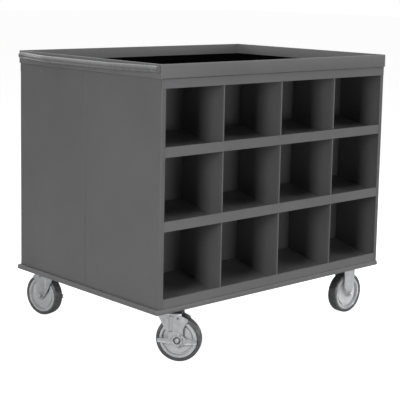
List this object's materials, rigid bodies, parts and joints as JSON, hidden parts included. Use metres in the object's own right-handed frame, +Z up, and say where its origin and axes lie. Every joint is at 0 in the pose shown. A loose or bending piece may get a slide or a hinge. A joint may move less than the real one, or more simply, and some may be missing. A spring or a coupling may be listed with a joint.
{
  "type": "mobile workstation cart",
  "caption": "Sheet-steel workstation cart: open sloped bins on both long sides, lipped tray top with rubber mat, tube push handle, swivel casters with side brakes and rigid casters.",
  "frame": {"origin": "middle of the outer box at floor level", "axes": "+X from the push handle's end to the other end, +Y from the front bins to the rear bins, +Z up"},
  "size_m": [0.9732, 0.7274, 0.8251],
  "materials": {
    "panel_steel": "semi-gloss grey powder coat",
    "edge_steel": "semi-gloss grey powder coat",
    "zinc_plate": "bright zinc plate on pressed steel",
    "bolt_steel": "zinc-plated steel",
    "wheel_core": "moulded grey plastic",
    "tyre": "matt dark grey rubber",
    "mat": "matt black rubber"
  },
  "bodies": {
    "cart": {"base_deck": "edge_steel", "caster_bar_left": "edge_steel", "caster_bar_right": "edge_steel", "front_end_panel_left": "panel_steel", "front_end_panel_right": "panel_steel", "front_shelf_1": "edge_steel", "front_divider_1_1": "panel_steel", "front_divider_1_2": "panel_steel", "front_divider_1_3": "panel_steel", "front_shelf_2": "edge_steel", "front_divider_2_1": "panel_steel", "front_divider_2_2": "panel_steel", "front_divider_2_3": "panel_steel", "front_shelf_3": "edge_steel", "front_divider_3_1": "panel_steel", "front_divider_3_2": "panel_steel", "front_divider_3_3": "panel_steel", "front_back_panel": "panel_steel", "front_top_panel": "edge_steel", "rear_end_panel_left": "panel_steel", "rear_end_panel_right": "panel_steel", "rear_shelf_1": "edge_steel", "rear_divider_1_1": "panel_steel", "rear_divider_1_2": "panel_steel", "rear_divider_1_3": "panel_steel", "rear_shelf_2": "edge_steel", "rear_divider_2_1": "panel_steel", "rear_divider_2_2": "panel_steel", "rear_divider_2_3": "panel_steel", "rear_shelf_3": "edge_steel", "rear_divider_3_1": "panel_steel", "rear_divider_3_2": "panel_steel", "rear_divider_3_3": "panel_steel", "rear_back_panel": "panel_steel", "rear_top_panel": "edge_steel", "tray_top": "edge_steel", "rubber_mat": "mat", "push_handle": "edge_steel", "swivel_plate_front_left": "zinc_plate", "swivel_plate_rear_left": "zinc_plate", "rigid_fork_front_right": "zinc_plate", "axle_bolt_front_right": "bolt_steel", "rigid_fork_rear_right": "zinc_plate", "axle_bolt_rear_right": "bolt_steel"},
    "swivel_front_left": {"swivel_fork_front_left": "zinc_plate", "axle_bolt_front_left": "bolt_steel"},
    "swivel_rear_left": {"swivel_fork_rear_left": "zinc_plate", "axle_bolt_rear_left": "bolt_steel"},
    "wheel_front_left": {"wheel_core_front_left": "wheel_core", "tyre_front_left": "tyre"},
    "wheel_rear_left": {"wheel_core_rear_left": "wheel_core", "tyre_rear_left": "tyre"},
    "wheel_front_right": {"wheel_core_front_right": "wheel_core", "tyre_front_right": "tyre"},
    "wheel_rear_right": {"wheel_core_rear_right": "wheel_core", "tyre_rear_right": "tyre"},
    "brake_front_left": {"brake_lever_front_left": "zinc_plate"},
    "brake_rear_left": {"brake_lever_rear_left": "zinc_plate"}
  },
  "joints": [
    {"name": "swivel_turn_front_left", "type": "hinge", "parent": "cart", "child": "swivel_front_left", "pos_m": [-0.35135, -0.27371, 0.146], "axis": [0, 0, 1], "continuous": true},
    {"name": "swivel_turn_rear_left", "type": "hinge", "parent": "cart", "child": "swivel_rear_left", "pos_m": [-0.35135, 0.26329, 0.146], "axis": [0, 0, 1], "continuous": true},
    {"name": "wheel_roll_front_left", "type": "hinge", "parent": "swivel_front_left", "child": "wheel_front_left", "pos_m": [-0.3296, -0.30365, 0.0635], "axis": [0.809, 0.5878, 0], "continuous": true},
    {"name": "wheel_roll_rear_left", "type": "hinge", "parent": "swivel_rear_left", "child": "wheel_rear_left", "pos_m": [-0.35904, 0.29948, 0.0635], "axis": [-0.9781, -0.2079, 0], "continuous": true},
    {"name": "wheel_roll_front_right", "type": "hinge", "parent": "cart", "child": "wheel_front_right", "pos_m": [0.40365, -0.27371, 0.0635], "axis": [0, 1, 0], "continuous": true},
    {"name": "wheel_roll_rear_right", "type": "hinge", "parent": "cart", "child": "wheel_rear_right", "pos_m": [0.40365, 0.26329, 0.0635], "axis": [0, 1, 0], "continuous": true},
    {"name": "brake_turn_front_left", "type": "hinge", "parent": "swivel_front_left", "child": "brake_front_left", "pos_m": [-0.3296, -0.30365, 0.0635], "axis": [0.809, 0.5878, 0], "range_deg": [0, 15]},
    {"name": "brake_turn_rear_left", "type": "hinge", "parent": "swivel_rear_left", "child": "brake_rear_left", "pos_m": [-0.35904, 0.29948, 0.0635], "axis": [-0.9781, -0.2079, 0], "range_deg": [0, 15]}
  ]
}
